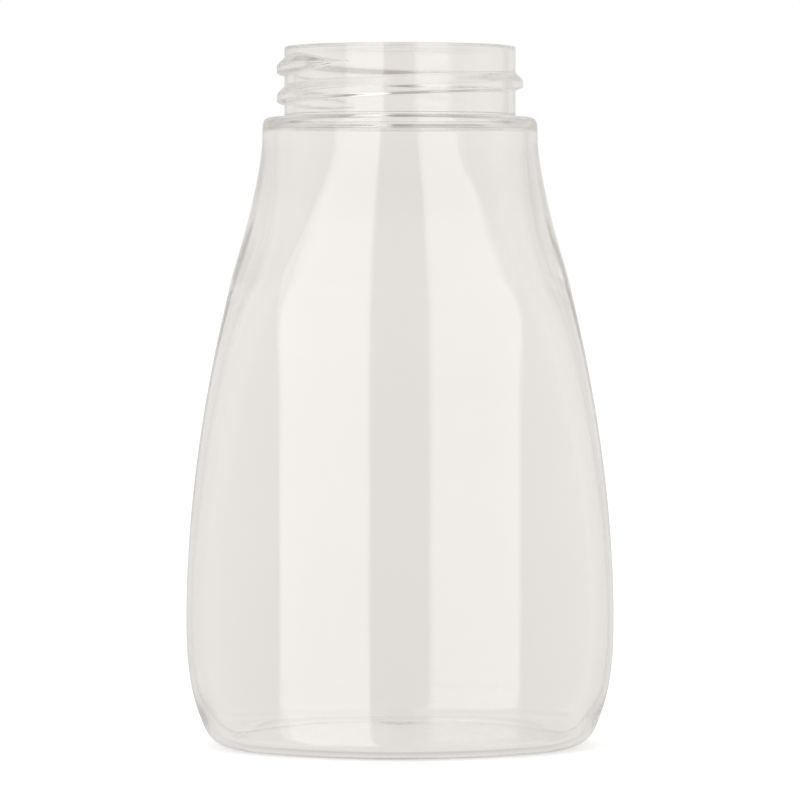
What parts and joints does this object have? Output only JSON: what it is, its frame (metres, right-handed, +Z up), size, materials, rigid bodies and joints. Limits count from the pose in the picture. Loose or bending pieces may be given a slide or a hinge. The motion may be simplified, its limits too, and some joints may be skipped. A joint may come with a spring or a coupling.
{
  "type": "squeeze bottle",
  "caption": "Clear blown squeeze bottle for honey, with an oval body that widens below a round ledge and a wide neck for a screw cap.",
  "frame": {"origin": "centre of the base, on the surface that the bottle stands on", "axes": "+Z up through the neck, X along the wide side of the oval, -Y towards the viewer"},
  "size_m": [0.065, 0.043, 0.1059],
  "materials": {
    "clear_pet": "blown clear PET, smooth and glossy inside and out"
  },
  "bodies": {
    "root": {"bottle": "clear_pet"}
  },
  "joints": []
}
